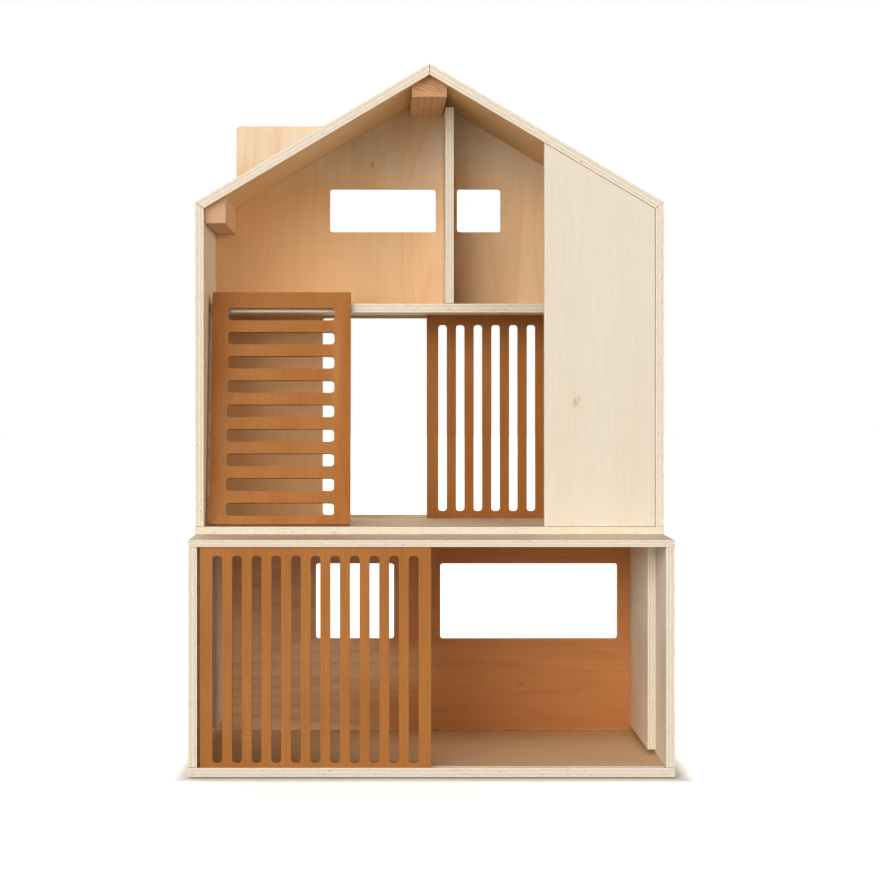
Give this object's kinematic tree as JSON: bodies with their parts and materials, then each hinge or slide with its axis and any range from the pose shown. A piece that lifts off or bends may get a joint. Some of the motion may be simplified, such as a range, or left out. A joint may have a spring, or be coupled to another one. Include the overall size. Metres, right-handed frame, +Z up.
{
  "type": "wooden dollhouse",
  "caption": "Gabled plywood dollhouse on a separate box base, with slatted sliding doors, an attic shelf, windows, a chimney and a leaning slatted ladder.",
  "frame": {"origin": "centre of the base's footprint, on the surface that it stands on", "axes": "+X to the right seen from the front, +Y to the back, +Z up"},
  "size_m": [0.488, 0.24, 0.7276],
  "materials": {
    "birch_plywood": "clear matt lacquer on pale plywood",
    "warm_plywood": "clear matt lacquer on warmer plywood",
    "solid_wood": "sanded solid wood",
    "caramel_paint": "caramel paint, satin to matt"
  },
  "bodies": {
    "base": {"base_back_wall": "warm_plywood", "base_dowel_lower_left_front": "solid_wood", "base_dowel_lower_left_rear": "solid_wood", "base_dowel_lower_right_front": "solid_wood", "base_dowel_lower_right_rear": "solid_wood", "base_dowel_upper_left_front": "solid_wood", "base_dowel_upper_left_rear": "solid_wood", "base_dowel_upper_right_front": "solid_wood", "base_dowel_upper_right_rear": "solid_wood", "base_floor": "birch_plywood", "base_lining_left": "warm_plywood", "base_lining_right": "warm_plywood", "base_top": "birch_plywood", "base_wall_left": "birch_plywood", "base_wall_right": "birch_plywood"},
    "house": {"attic_partition": "birch_plywood", "attic_shelf": "birch_plywood", "eave_batten_left": "solid_wood", "eave_batten_right": "solid_wood", "front_panel": "birch_plywood", "house_back_wall": "warm_plywood", "house_dowel_left_front": "solid_wood", "house_dowel_left_rear": "solid_wood", "house_dowel_right_front": "solid_wood", "house_dowel_right_rear": "solid_wood", "house_floor": "birch_plywood", "house_wall_left": "birch_plywood", "house_wall_right": "birch_plywood", "ridge_beam": "solid_wood", "roof_left": "birch_plywood", "roof_right": "birch_plywood", "shelf_dowel_left_front": "solid_wood", "shelf_dowel_left_rear": "solid_wood", "shelf_dowel_right_front": "solid_wood", "shelf_dowel_right_rear": "solid_wood"},
    "lower_door": {"lower_slat_door": "caramel_paint"},
    "upper_door": {"upper_slat_door": "caramel_paint"},
    "ladder": {"ladder": "caramel_paint"}
  },
  "joints": [
    {"name": "lower_door_slide", "type": "slide", "parent": "base", "child": "lower_door", "axis": [1, 0, 0], "range_m": [0, 0.2345]},
    {"name": "house_lift", "type": "slide", "parent": "base", "child": "house", "axis": [0, 0, 1], "range_m": [0, 0.1]},
    {"name": "upper_door_slide", "type": "slide", "parent": "house", "child": "upper_door", "axis": [-1, 0, 0], "range_m": [0, 0.2345]},
    {"name": "ladder_pull", "type": "slide", "parent": "house", "child": "ladder", "axis": [0, -1, 0], "range_m": [0, 0.12]}
  ]
}
